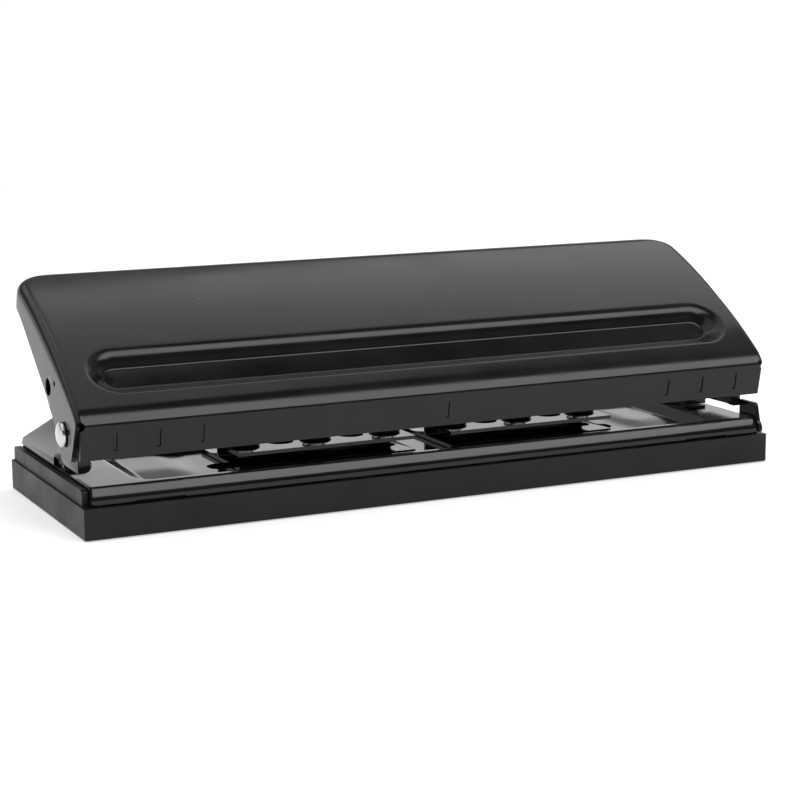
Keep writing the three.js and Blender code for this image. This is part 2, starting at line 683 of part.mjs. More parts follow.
add("paper_guide", paperGuide(), BLACK_PAINT);
add("guide_keeper_inner", guideKeeper(KEEPERS.inner), STEEL);
add("guide_keeper_outer", guideKeeper(KEEPERS.outer), STEEL);

export default group;
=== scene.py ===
# Looks for the two-head paper punch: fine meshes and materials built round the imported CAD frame.
# Shapes are worked out in millimetres in the CAD frame and turned into metres as they are made.
import json
import math

import bmesh
import bpy
import numpy as np
from mathutils import Matrix, Vector


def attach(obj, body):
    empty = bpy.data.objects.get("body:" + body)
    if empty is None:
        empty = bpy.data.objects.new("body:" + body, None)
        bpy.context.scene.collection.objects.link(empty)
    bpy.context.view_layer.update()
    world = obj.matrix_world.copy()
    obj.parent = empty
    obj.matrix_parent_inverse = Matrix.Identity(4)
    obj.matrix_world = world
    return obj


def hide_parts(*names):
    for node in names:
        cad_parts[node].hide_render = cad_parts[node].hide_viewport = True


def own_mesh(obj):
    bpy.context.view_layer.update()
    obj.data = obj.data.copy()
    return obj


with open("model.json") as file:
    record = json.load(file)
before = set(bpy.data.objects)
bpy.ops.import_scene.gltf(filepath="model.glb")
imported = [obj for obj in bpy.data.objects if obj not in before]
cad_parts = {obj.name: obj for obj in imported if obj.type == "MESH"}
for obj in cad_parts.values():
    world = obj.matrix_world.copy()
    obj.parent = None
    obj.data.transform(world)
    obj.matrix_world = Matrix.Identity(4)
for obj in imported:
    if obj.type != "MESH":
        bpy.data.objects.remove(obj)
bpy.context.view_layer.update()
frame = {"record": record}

scene = bpy.context.scene
MM = 0.001

# ---- driving dimensions, millimetres ----

CAMERA_PLACE = (-218.5, -456.6, 111.2)
CAMERA_AIM = (0.42599, 0.88711, -0.17768)
CAMERA_UP = (0.08511, 0.15622, 0.98405)
CAMERA_LENS = 89.18

SHEET = 1.2
CROWN = ((-28.6, 28.4), (-6.0, 47.7), (23.89, 57.5))
LEVER_HALF = 94.31
LEVER_FLARE = 0.63
LEVER_REACH = 59.55
REAR_CORNER = 9.9
REAR_FOLD = 6.0
SIDE_FOLD = {"front": 1.25, "rear": 2.8, "grows_to": 24.6}
REAR_SKIRT = 6.8
BROW = {"start": 2.78, "radius": 12.0, "turn": 22.0}
LIP_FOLD = 1.5
LIP_LOW = (-27.9, 17.95)
LIP_HALF = 93.4
LIP_LEAN = 11.7
# The side flange's lower edge in Y and Z, by the place along the crown that it drops from.
FLANGE_EDGE = (
    (-1.8, -23.9, 17.3), (2.0, -20.8, 16.6), (4.4, -17.8, 16.7), (6.4, -15.4, 17.9), (8.4, -14.0, 20.0),
    (10.2, -12.8, 22.3), (13.0, -10.6, 25.1), (16.8, -7.9, 27.7), (20.5, -5.5, 30.2), (28.6, 0.3, 35.1),
    (36.8, 6.3, 40.1), (45.1, 12.5, 45.2), (49.7, 16.2, 47.85),
)
CORNER_SKIRT = 6.55
# The long groove's section: its slope in degrees at places along the crown, positive where it climbs.
GROOVE_SLOPES = (
    (5.7, 0), (6.5, -37), (10.3, -37), (11.2, 8), (16.7, 8), (17.2, 45), (18.2, 45),
    (19.1, 35), (20.0, 24), (21.0, 13.5), (22.2, 0),
)
GROOVE_MIDDLE = 13.9
GROOVE_STRAIGHT = 80.4
LIP_MARKS = (-85.2, -74.7, -64.1, 0.0, 64.1, 74.7, 85.2)
MARK_Z = (19.8, 24.2)
MARK_DEEP = 0.3
MARK_HALF = 0.55
MARK_SIDE_SLOPE = 0.2
MARK_TOP_RISE, MARK_FOOT_RISE = 0.1, 0.2
PIVOT = (-18.5, 22.8)
PIVOT_HOLE = 2.15
# Y, Z and radius of the two other holes in each flange.
FLANGE_HOLES = ((-7.7, 32.3, 2.1), (-13.0, 33.9, 0.7))
# The small round notch at each front corner, where the lip and the flange part.
RELIEF = {"radius": 1.0, "half": 6, "x": 93.7, "y": -29.4, "z": 26.3, "out": 0.62, "front": -0.72, "up": 0.3}

PLATE = {"half_x": 91.7, "half_y": 30.1, "top": 11.9, "sheet": 1.0, "skirt": 7.9, "roll": 3.2}
FRONT_BENDS = ((1.0, 0, 50), (8.0, 50, 70), (0.6, 70, 90))
RECESS = {"half_x": 80.0, "front": -26.5, "back": 12.0, "floor": 10.0, "end": 5.0, "side": 1.4}
# The recess floor's two ends stand a little higher. Each pair is where the rise starts and how far it runs.
FLOOR_SWELL = 0.45
SWELL_X, SWELL_Y = (59, 6), (-25, 17)
RIVET_HOLE = 1.6
SCREW_SLOT = 1.6
PIN_SLOT = 3.5
HEAD_TRAVEL = 6.0
HEAD = {"centre": 28.5, "length": 47.0, "front": -20.7, "web": -6.2, "back": 6.0}
PIN_PITCH = 19.0
PIN_OFFSETS = (-PIN_PITCH, 0.0, PIN_PITCH)
PIN_Y = -12.0
PIN_STROKE = 3.9
SPRING_LOW, SPRING_HIGH = 15.62, 23.03
SCREW_SPREAD = 14.0
SCREW_Y = 1.0
PRESS_SEAT = 20.0
PRESS_DROP = 3.9
PRESS_NOSE = {"y": -12.0, "z": 26.8, "radius": 1.6}
PRESS_HALF = 87

TRAY = {"x": 94.0, "y": 31.75, "wall": 1.5, "low": 0.3, "floor": 2.0, "top": 7.6}
FEET = {
    "foot_front_left": (-84, -22), "foot_front_right": (84, -22),
    "foot_back_left": (-84, 22), "foot_back_right": (84, 22),
}
BRACKET_RIVETS = {
    "left_bracket_rivet_front": (-86.5, 6), "left_bracket_rivet_back": (-86.5, 21),
    "right_bracket_rivet_front": (86.5, 6), "right_bracket_rivet_back": (86.5, 21),
}

# Brightness of the room by the sine of the height above the horizon; FRONT_DIM is the share in front.
SKY_LEVELS = (
    (0.0, 1.0), (0.215, 1.0), (0.26, 0.35), (0.45, 0.2), (0.58, 0.3), (0.66, 0.42),
    (0.8, 0.42), (0.9, 0.06), (1.0, 0.04),
)
SKY_STRENGTH = 1.12
FRONT_DIM = 0.28
# The dimming sets in between these two directions, given by their Y.
FRONT_DIM_SPAN = (-0.4, -0.05)
FLOOR_RADIUS = 1100
# The floor gives off a little light of its own, so that it reads as pale as the photograph's.
FLOOR_GLOW = 0.45
# Softboxes hung level: name, height, X and Y spans over the height, turn about Z, brightness.
LAMPS = (
    ("back_box", 1.2, (-0.35, 1.25), (0.02, 0.8), 22.0, 1.15),
    ("front_box", 1.3, (0.05, 1.15), (-1.3, -0.48), -6.0, 4.6),
    ("left_box", 1.3, (-1.7, -0.25), (-0.8, 1.1), 0.0, 0.9),
)


# ---- mesh helpers ----

def make_object(name, points, faces):
    """A mesh object from points in millimetres."""
    mesh = bpy.data.meshes.new(name)
    mesh.from_pydata((np.asarray(points, float) * MM).tolist(), [], faces)
    mesh.validate()
    mesh.update()
    piece = bpy.data.objects.new(name, mesh)
    scene.collection.objects.link(piece)
    return piece


def settle(piece):
    """Applies the piece's modifiers."""
    graph = bpy.context.evaluated_depsgraph_get()
    mesh = bpy.data.meshes.new_from_object(piece.evaluated_get(graph))
    piece.modifiers.clear()
    piece.data = mesh
    return piece


def face_outwards(piece):
    """Turns the faces of a closed mesh outwards, and makes those of an open skin agree."""
    mesh = bmesh.new()
    mesh.from_mesh(piece.data)
    bmesh.ops.recalc_face_normals(mesh, faces=mesh.faces)
    mesh.to_mesh(piece.data)
    mesh.free()
    return piece


def face_outwards_up(piece):
    """Turns an open skin so that most of it faces up."""
    mesh = piece.data
    if sum(face.normal.z * face.area for face in mesh.polygons) < 0:
        mesh.flip_normals()
    return piece


def shade(piece, angle=32):
    """Smooth faces, with hard edges only where the surface really turns."""
    mesh = bmesh.new()
    mesh.from_mesh(piece.data)
    for face in mesh.faces:
        face.smooth = True
    for edge in mesh.edges:
        edge.smooth = not edge.is_manifold or edge.calc_face_angle() < math.radians(angle)
    mesh.to_mesh(piece.data)
    mesh.free()
    return piece


def bevel(piece, width, segments=2, angle=40):
    """Rounds the edges that turn by more than the angle."""
    rounding = piece.modifiers.new("bevel", "BEVEL")
    rounding.width = width * MM
    rounding.segments = segments
    rounding.limit_method = "ANGLE"
    rounding.angle_limit = math.radians(angle)
    rounding.use_clamp_overlap = True
    weighted = piece.modifiers.new("weighted", "WEIGHTED_NORMAL")
    weighted.keep_sharp = True
    for face in piece.data.polygons:
        face.use_smooth = True
    return settle(piece)


def solidify(piece, thickness):
    """Gives a skin its thickness, inwards."""
    sheet = piece.modifiers.new("sheet", "SOLIDIFY")
    sheet.thickness = thickness * MM
    sheet.offset = -1
    sheet.use_even_offset = True
    return settle(piece)


def combine(piece, tool, operation):
    """Changes the piece by the tool, which stays."""
    boolean = piece.modifiers.new("combine", "BOOLEAN")
    boolean.operation = operation
    boolean.solver = "EXACT"
    boolean.object = tool
    return settle(piece)


def cut(piece, *tools):
    """Cuts the tools out of the piece and removes them."""
    for tool in tools:
        combine(piece, tool, "DIFFERENCE")
    for tool in tools:
        bpy.data.objects.remove(tool)
    return piece


def join(piece, tool):
    """Joins the tool to the piece and removes it."""
    combine(piece, tool, "UNION")
    bpy.data.objects.remove(tool)
    return piece


def shift(piece, x, y, z):
    """Moves the piece's mesh by millimetres."""
    piece.data.transform(Matrix.Translation(Vector((x, y, z)) * MM))
    return piece


def grid_faces(rows, columns):
    """Four-sided faces over a grid of points that is listed row by row."""
    corners = [r * columns + c for r in range(rows - 1) for c in range(columns - 1)]
    return [(i, i + 1, i + columns + 1, i + columns) for i in corners]


def spaced(*stops):
    """Places along a line from (place, step) pairs: each step holds up to the next place."""
    places = []
    for (a, step), (b, _) in zip(stops, stops[1:]):
        count = max(1, round((b - a) / step))
        places += [a + (b - a) * i / count for i in range(count)]
    return np.array(places + [stops[-1][0]])


def prism(name, outline, low, high, axis="x"):
    """An outline drawn in the other two axes, in X, Y, Z order, and drawn out along the axis."""
    count = len(outline)
    order = {
        "x": lambda u, v, w: (w, u, v),
        "y": lambda u, v, w: (u, w, v),
        "z": lambda u, v, w: (u, v, w),
    }[axis]
    points = [order(u, v, w) for w in (low, high) for u, v in outline]
    sides = [(i, (i + 1) % count, count + (i + 1) % count, count + i) for i in range(count)]
    faces = [tuple(range(count))[::-1], tuple(range(count, 2 * count)), *sides]
    return face_outwards(make_object(name, points, faces))


def arc(centre, radius, start, end, steps):
    """Points on an arc, angles in degrees."""
    angles = np.radians(np.linspace(start, end, steps + 1))
    return [(centre[0] + radius * math.cos(a), centre[1] + radius * math.sin(a)) for a in angles]


def round_rect(x0, x1, y0, y1, r, steps=6):
    """The outline of a rectangle with round corners."""
    return (
        arc((x1 - r, y0 + r), r, -90, 0, steps) + arc((x1 - r, y1 - r), r, 0, 90, steps)
        + arc((x0 + r, y1 - r), r, 90, 180, steps) + arc((x0 + r, y0 + r), r, 180, 270, steps)
    )


def rod(name, radius, low, high, place, axis="z", steps=48):
    """A round rod along the axis, at a place in the other two."""
    outline = arc(place, radius, 0, 360 - 360 / steps, steps - 1)
    return prism(name, outline, low, high, axis)


def slot_tool(x0, x1, y, radius, z0, z1):
    """A tool for a slot with round ends, from the centre of one end to that of the other."""
    outline = arc((x1, y), radius, -90, 90, 16) + arc((x0, y), radius, 90, 270, 16)
    return prism("tool", outline, z0, z1, "z")


def turned(name, profile, steps=48):
    """A profile of radius and height turned about Z; it starts and ends on the axis, or closes on itself."""
    closed = profile[0] == profile[-1]
    rings = profile[:-1] if closed else profile
    points = []
    loops = []
    for radius, height in rings:
        if radius == 0:
            loops.append([len(points)] * steps)
            points.append((0, 0, height))
        else:
            loops.append(list(range(len(points), len(points) + steps)))
            turn = np.arange(steps) * 2 * math.pi / steps
            points += [(radius * math.cos(a), radius * math.sin(a), height) for a in turn]
    pairs = list(zip(loops, loops[1:])) + ([(loops[-1], loops[0])] if closed else [])
    faces = []
    for a, b in pairs:
        for i in range(steps):
            j = (i + 1) % steps
            face = list(dict.fromkeys((a[i], a[j], b[j], b[i])))
            if len(face) > 2:
                faces.append(tuple(face))
    return face_outwards(make_object(name, points, faces))


# ---- materials ----

def link(tree, source, target):
    tree.links.new(source, target)


class Finish:
    """A procedural material: a Principled shader and the few nodes that vary it over the surface."""

    def __init__(self, name, color, roughness, metallic=0.0, **sockets):
        self.material = bpy.data.materials.new(name)
        self.material.use_nodes = True
        self.tree = self.material.node_tree
        self.shader = self.tree.nodes["Principled BSDF"]
        self.shader.inputs["Base Color"].default_value = (*color, 1)
        self.shader.inputs["Roughness"].default_value = roughness
        self.shader.inputs["Metallic"].default_value = metallic
        for socket, value in sockets.items():
            self.shader.inputs[socket.replace("_", " ")].default_value = value
        self.place = self.tree.nodes.new("ShaderNodeTexCoord").outputs["Object"]
        self.height = None

    def noise(self, scale, detail=2.0, stretch=None, distortion=0.0):
        place = self.place
        if stretch:
            mapping = self.tree.nodes.new("ShaderNodeMapping")
            mapping.inputs["Scale"].default_value = stretch
            link(self.tree, place, mapping.inputs["Vector"])
            place = mapping.outputs["Vector"]
        node = self.tree.nodes.new("ShaderNodeTexNoise")
        node.inputs["Scale"].default_value = scale
        node.inputs["Detail"].default_value = detail
        node.inputs["Distortion"].default_value = distortion
        link(self.tree, place, node.inputs["Vector"])
        return node.outputs["Fac"]

    def ranged(self, value, low, high, to_low, to_high):
        node = self.tree.nodes.new("ShaderNodeMapRange")
        node.inputs["From Min"].default_value = low
        node.inputs["From Max"].default_value = high
        node.inputs["To Min"].default_value = to_low
        node.inputs["To Max"].default_value = to_high
        link(self.tree, value, node.inputs["Value"])
        return node.outputs["Result"]

    def mixed(self, factor, first, second):
        node = self.tree.nodes.new("ShaderNodeMix")
        node.data_type = "RGBA"
        for socket, value in ((node.inputs[6], first), (node.inputs[7], second)):
            if hasattr(value, "is_output"):
                link(self.tree, value, socket)
            else:
                socket.default_value = (*value, 1)
        link(self.tree, factor, node.inputs[0])
        return node.outputs[2]

    def vary_roughness(self, scale, low, high, stretch=None, detail=3.0):
        found = self.ranged(self.noise(scale, detail, stretch), 0.35, 0.65, low, high)
        link(self.tree, found, self.shader.inputs["Roughness"])

    def vary_color(self, scale, first, second, low=0.35, high=0.65):
        factor = self.ranged(self.noise(scale, 4.0), low, high, 0, 1)
        self.color = self.mixed(factor, first, second)
        link(self.tree, self.color, self.shader.inputs["Base Color"])

    def dust(self, scale, amount, color):
        """Rare fine specks lying on the surface."""
        cells = self.tree.nodes.new("ShaderNodeTexVoronoi")
        cells.inputs["Scale"].default_value = scale
        link(self.tree, self.place, cells.inputs["Vector"])
        near = self.ranged(cells.outputs["Distance"], 0.05, 0.09, 1, 0)
        chance = self.tree.nodes.new("ShaderNodeSeparateColor")
        link(self.tree, cells.outputs["Color"], chance.inputs[0])
        rare = self.ranged(chance.outputs[0], 1 - amount, 1 - amount + 0.001, 0, 1)
        both = self.tree.nodes.new("ShaderNodeMath")
        both.operation = "MULTIPLY"
        link(self.tree, near, both.inputs[0])
        link(self.tree, rare, both.inputs[1])
        self.color = self.mixed(both.outputs[0], self.color, color)
        link(self.tree, self.color, self.shader.inputs["Base Color"])

    def bump(self, scale, strength, depth_mm, detail=2.0, stretch=None):
        node = self.tree.nodes.new("ShaderNodeBump")
        node.inputs["Strength"].default_value = strength
        node.inputs["Distance"].default_value = depth_mm * MM
        link(self.tree, self.noise(scale, detail, stretch), node.inputs["Height"])
        if self.height:
            link(self.tree, self.height, node.inputs["Normal"])
        self.height = node.outputs["Normal"]
        link(self.tree, self.height, self.shader.inputs["Normal"])


def gloss_paint(name, low, high, peel, index=1.4):
    """Stoved black paint: near-black, with faint orange peel and a little dust."""
    finish = Finish(name, (0.006, 0.006, 0.0065), 0.2, IOR=index)
    finish.vary_color(70, (0.0055, 0.0055, 0.006), (0.0085, 0.0085, 0.009))
    finish.dust(420, 0.018, (0.16, 0.16, 0.155))
    finish.vary_roughness(55, low, high)
    finish.bump(380, peel, 0.02, 1.5)
    return finish.material


def moulded_plastic():
    """Black moulded plastic with a fine spark-eroded grain."""
    finish = Finish("moulded_plastic", (0.005, 0.005, 0.0053), 0.5, IOR=1.36)
    finish.vary_color(40, (0.004, 0.004, 0.0043), (0.006, 0.006, 0.0063))
    finish.dust(300, 0.012, (0.12, 0.12, 0.12))
    finish.vary_roughness(90, 0.4, 0.52)
    finish.bump(2600, 0.35, 0.02, 3.0)
    finish.bump(500, 0.08, 0.03, 1.0)
    return finish.material


def plated(name, color, low, high, scratch):
    """Bright plate with fine drawn marks."""
    finish = Finish(name, color, 0.1, 1.0)
    finish.vary_color(260, color, tuple(0.86 * c for c in color))
    finish.vary_roughness(300, low, high, (1, 1, 0.25))
    finish.bump(900, scratch, 0.01, 2.0, (1, 1, 0.1))
    return finish.material


def rubber():
    finish = Finish("rubber", (0.018, 0.018, 0.018), 0.85)
    finish.vary_color(150, (0.015, 0.015, 0.015), (0.03, 0.03, 0.029))
    finish.bump(1800, 0.5, 0.03, 3.0)
    return finish.material


FINISHES = {
    "gloss_black_paint": gloss_paint("gloss_black_paint", 0.045, 0.075, 0.06),
    "plate_paint": gloss_paint("plate_paint", 0.08, 0.12, 0.35),
    "lever_paint": gloss_paint("lever_paint", 0.13, 0.19, 0.1, 1.36),
    "black_plastic": moulded_plastic(),
    "chrome": plated("chrome", (0.60, 0.61, 0.62), 0.05, 0.12, 0.05),
    "bright_steel": plated("bright_steel", (0.56, 0.57, 0.58), 0.18, 0.32, 0.2),
    "rubber": rubber(),
}
SLOT_OF = {row["node"]: row["material_slot"] for row in frame["record"]["subparts"]}
BODY_OF = {node: body for body, nodes in frame["record"]["behaviour"]["bodies"].items() for node in nodes}


def install(piece, *nodes, finish=None):
    """Gives a piece the finish and the body of the CAD nodes that it stands for."""
    slot = SLOT_OF[nodes[0]]
    piece.data.materials.clear()
    piece.data.materials.append(FINISHES[finish or slot])
    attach(piece, BODY_OF[nodes[0]])
    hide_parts(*nodes)
    return piece


# ---- lever: one pressed sheet ----

class Crown:
    """The lever's side curve by distance along it: the brow's arc in front, then the long crown."""

    def __init__(self, controls, brow):
        a, b, c = (np.array(p, float) for p in controls)
        t = np.linspace(0, 1, 801)[:, None]
        points = (1 - t) ** 2 * a + 2 * t * (1 - t) * b + t**2 * c
        tangents = 2 * (1 - t) * (b - a) + 2 * t * (c - b)
        tangents /= np.linalg.norm(tangents, axis=1)[:, None]
        along = np.concatenate([[0], np.cumsum(np.linalg.norm(np.diff(points, axis=0), axis=1))])
        first = int(np.searchsorted(along, brow["start"]))
        slope = math.atan2(tangents[first, 1], tangents[first, 0])
        turn = np.radians(np.linspace(brow["turn"], 0, 61))[:-1] + slope
        centre = points[first] + brow["radius"] * np.array([math.sin(slope), -math.cos(slope)])
        arc_points = centre + brow["radius"] * np.stack([-np.sin(turn), np.cos(turn)], axis=1)
        self.points = np.concatenate([arc_points, points[first:]])
        self.tangents = np.concatenate([np.stack([np.cos(turn), np.sin(turn)], axis=1), tangents[first:]])
        self.along = np.concatenate([along[first] - brow["radius"] * (turn - slope), along[first:]])
        self.start = self.along[0]

    def place(self, s, n):
        """Y and Z of the place s along the crown and n above it."""
        inside = np.clip(s, self.start, self.along[-1])
        y, z = (np.interp(inside, self.along, self.points[:, i]) for i in (0, 1))
        ty, tz = (np.interp(inside, self.along, self.tangents[:, i]) for i in (0, 1))
        over = s - inside
        return y + over * ty - n * tz, z + over * tz + n * ty


crown = Crown(CROWN, BROW)


def smooth_step(t):
    t = np.clip(t, 0, 1)
    return t * t * (3 - 2 * t)


def groove_section():
    """The groove's depth by distance along the crown, found by adding up its slopes."""
    places, slopes = (np.array(column, float) for column in zip(*GROOVE_SLOPES))
    s = np.linspace(places[0], places[-1], 2001)
    climb = np.tan(np.radians(np.interp(s, places, slopes)))
    fall = climb < 0
    climb[fall] *= climb[~fall].sum() / -climb[fall].sum()
    return s, -np.cumsum(climb) * (s[1] - s[0])


SECTION_PLACES, SECTION_DEPTHS = groove_section()


def groove_depth(x, s):
    """How far the long groove is pressed in at each place; its two ends are round."""
    def section(place):
        return np.interp(place, SECTION_PLACES, SECTION_DEPTHS, left=0, right=0)

    across = np.maximum(np.abs(x) - GROOVE_STRAIGHT, 0)
    along = s - GROOVE_MIDDLE
    reach = np.hypot(across, along)
    upward = smooth_step(0.5 + 0.5 * along / np.maximum(reach, 1e-6))
    ended = upward * section(GROOVE_MIDDLE + reach) + (1 - upward) * section(GROOVE_MIDDLE - reach)
    return np.where(across > 0, ended, section(s))


def fold_radius(s):
    f = SIDE_FOLD
    return f["front"] + (f["rear"] - f["front"]) * np.clip(s / f["grows_to"], 0, 1)


def half_width(s):
    return LEVER_HALF + LEVER_FLARE * np.maximum(s, 0) / LEVER_REACH


def corner_fold(turn):
    """The fold's radius round the rear corner, from the side (0) to the rear (a right angle)."""
    return SIDE_FOLD["rear"] + (REAR_FOLD - SIDE_FOLD["rear"]) * np.sin(turn) ** 2


def flange_edge(s):
    """The flange's lower edge for a place along the fold, as a smooth curve through its few points."""
    table = np.array(FLANGE_EDGE)
    knots = table[:, 0]
    i = int(np.clip(np.searchsorted(knots, s) - 1, 0, len(knots) - 2))
    t = (s - knots[i]) / (knots[i + 1] - knots[i])
    before, after = max(i - 1, 0), min(i + 2, len(knots) - 1)
    result = []
    for column in (1, 2):
        p = table[:, column]
        span = knots[i + 1] - knots[i]
        m0 = (p[i + 1] - p[before]) / (knots[i + 1] - knots[before]) * span
        m1 = (p[after] - p[i]) / (knots[after] - knots[i]) * span
        result.append(
            (2 * t**3 - 3 * t**2 + 1) * p[i] + (t**3 - 2 * t**2 + t) * m0
            + (3 * t**2 - 2 * t**3) * p[i + 1] + (t**3 - t**2) * m1
        )
    return result


def lever_top():
    """Grid of X and s over the lever's top, inside its folded rim, with rounded rear corners."""
    corner_s = LEVER_REACH - REAR_CORNER
    rows = spaced(
        (crown.start, 0.45), (5.4, 0.28), (12, 0.4), (16.2, 0.25), (23, 1.0),
        (corner_s, 0.6), (LEVER_REACH, 1),
    )
    side = half_width(corner_s) - SIDE_FOLD["rear"]
    corner_x = half_width(corner_s) - REAR_CORNER
    end = GROOVE_STRAIGHT
    columns = spaced((-side, 0.4), (-end, 1.3), (end, 0.4), (side, 1))
    x, s = np.meshgrid(columns, rows)
    a = np.clip((np.abs(x) - corner_x) / (side - corner_x), 0, 1)
    b = np.clip((s - corner_s) / REAR_CORNER, 0, 1)
    disc_a, disc_b = a * np.sqrt(1 - b**2 / 2), b * np.sqrt(1 - a**2 / 2)
    radius = REAR_CORNER - corner_fold(np.arctan2(disc_b, disc_a))
    straight_x = x * (half_width(s) - fold_radius(s)) / side
    past = s > corner_s
    cornered_x = np.where(a > 0, np.sign(x) * (corner_x + radius * disc_a), x)
    cornered_s = corner_s + np.where(a > 0, radius * disc_b, b * (REAR_CORNER - REAR_FOLD))
    return np.where(past, cornered_x, straight_x), np.where(past, cornered_s, s), corner_s, corner_x


def lever_skin():
    """The lever's outer surface: the crown with its groove, the rim folded down round it, and the lip."""
    x, s, corner_s, corner_x = lever_top()
    y, z = crown.place(s, -groove_depth(x, s))
    points = np.stack([x, y, z], axis=-1).reshape(-1, 3).tolist()
    rows_n, columns_n = x.shape
    faces = grid_faces(rows_n, columns_n)

    # the rim: rings of points that fold down from the crown's edge and end on the flange's edge
    left = [(r, 0) for r in range(rows_n)]
    rear = [(rows_n - 1, c) for c in range(1, columns_n - 1)]
    right = [(r, columns_n - 1) for r in range(rows_n - 1, -1, -1)]
    rim = left + rear + right
    arc_steps, skirt_steps = 8, 6
    columns_of_rim = []
    for r, c in rim:
        px, ps = x[r, c], s[r, c]
        side = np.sign(px)
        if ps <= corner_s:
            turn, radius = 0.0, fold_radius(ps)
            low_y, low_z = flange_edge(ps)
        else:
            turn = math.atan2(ps - corner_s, abs(px) - corner_x) if abs(px) > corner_x else math.pi / 2
            radius = corner_fold(turn)
            skirt = CORNER_SKIRT + (REAR_SKIRT - CORNER_SKIRT) * math.sin(turn) ** 2
            low_y, low_z = crown.place(ps + radius * math.sin(turn), -skirt)
        out = (math.cos(turn), math.sin(turn))
        column = []
        for k in range(1, arc_steps + 1):
            angle = math.pi / 2 * k / arc_steps
            reach = radius * math.sin(angle)
            fold_y, fold_z = crown.place(ps + out[1] * reach, -radius * (1 - math.cos(angle)))
            column.append((px + side * out[0] * reach, float(fold_y), float(fold_z)))
        bx, by, bz = column[-1]
        for k in range(1, skirt_steps + 1):
            t = k / skirt_steps
            column.append((bx, by + (low_y - by) * t, bz + (low_z - bz) * t))
        columns_of_rim.append(column)
    upper = [r * columns_n + c for r, c in rim]
    for k in range(arc_steps + skirt_steps):
        lower = []
        for column in columns_of_rim:
            lower.append(len(points))
            points.append(column[k])
        faces += [(upper[i], lower[i], lower[i + 1], upper[i + 1]) for i in range(len(rim) - 1)]
        upper = lower

    # the lip: folded over the brow's lower edge, then straight down
    ty, tz = crown.tangents[0]
    centre = crown.points[0] + LIP_FOLD * np.array([tz, -ty])
    start = math.degrees(math.atan2(ty, -tz))
    line = arc(centre, LIP_FOLD, start, 180 + LIP_LEAN, 8)[1:]
    last = line[-1]
    run = last[1] - LIP_LOW[1]
    lean = math.tan(math.radians(LIP_LEAN))
    line += [(last[0] + lean * run * t, last[1] - run * t) for t in np.linspace(0, 1, 10)[1:]]
    upper = list(range(columns_n))
    edge = abs(x[0, 0])
    for k, (py, pz) in enumerate(line):
        widen = smooth_step((k + 1) / 8)
        width = edge * (1 - widen) + LIP_HALF * widen
        lower = list(range(len(points), len(points) + columns_n))
        points += [(float(u / edge * width), py, pz) for u in x[0]]
        faces += [(upper[i], upper[i + 1], lower[i + 1], lower[i]) for i in range(columns_n - 1)]
        upper = lower
    return face_outwards_up(face_outwards(make_object("lever_shell", points, faces))), last


def lip_mark(x, lip_top):
    """A shallow upright tick pressed into the lip's face, with two sloping sides."""
    low, high = MARK_Z
    corners = [(-MARK_HALF, low), (MARK_HALF, low), (MARK_HALF, high), (-MARK_HALF, high)]
    # it is drawn upside down, from well outside the lip's face to just outside it and on to the tick's floor
    rise = {low: MARK_TOP_RISE, high: MARK_FOOT_RISE}
    floor = [(u - math.copysign(MARK_SIDE_SLOPE, u), z - rise[z]) for u, z in corners]
    points = [(x + u, outside, z) for outside in (2, 0.08) for u, z in corners]
    points += [(x + u, -MARK_DEEP, z) for u, z in floor]
    faces = [(3, 2, 1, 0), (8, 9, 10, 11)]
    faces += [(i + k, (i + 1) % 4 + k, (i + 1) % 4 + k + 4, i + k + 4) for k in (0, 4) for i in range(4)]
    tool = face_outwards(make_object("tool", points, faces))
    middle = sum(MARK_Z) / 2
    lean = math.radians(LIP_LEAN)
    face_y = lip_top[0] + (lip_top[1] - middle) * math.tan(lean)
    shift(tool, 0, 0, -middle)
    tool.data.transform(Matrix.Rotation(lean, 4, "X") @ Matrix.Rotation(math.pi, 4, "X"))
    return shift(tool, 0, face_y, middle)


def relief_tool(side):
    """A slanting rod that cuts the notch at one front corner."""
    r = RELIEF
    tool = rod("tool", r["radius"], -r["half"], r["half"], (0, 0), "z", 24)
    axis = Vector((side * r["out"], r["front"], r["up"]))
    tool.data.transform(axis.to_track_quat("Z", "Y").to_matrix().to_4x4())
    return shift(tool, side * r["x"], r["y"], r["z"])


def build_lever():
    skin, lip_top = lever_skin()
    shell = solidify(skin, SHEET)
    tools = []
    for side in (-1, 1):
        span = sorted((side * (LEVER_HALF - 4), side * (LEVER_HALF + 2)))
        for y, z, radius in FLANGE_HOLES:
            tools.append(rod("tool", radius, *span, (y, z), "x", 32))
        tools.append(rod("tool", PIVOT_HOLE, *span, PIVOT, "x", 32))
        tools.append(relief_tool(side))
    cut(shell, *tools)
    bevel(shell, 0.2, 2, 50)
    cut(shell, *(lip_mark(x, lip_top) for x in LIP_MARKS))
    return install(shade(shell, 35), "lever_cover", finish="lever_paint")


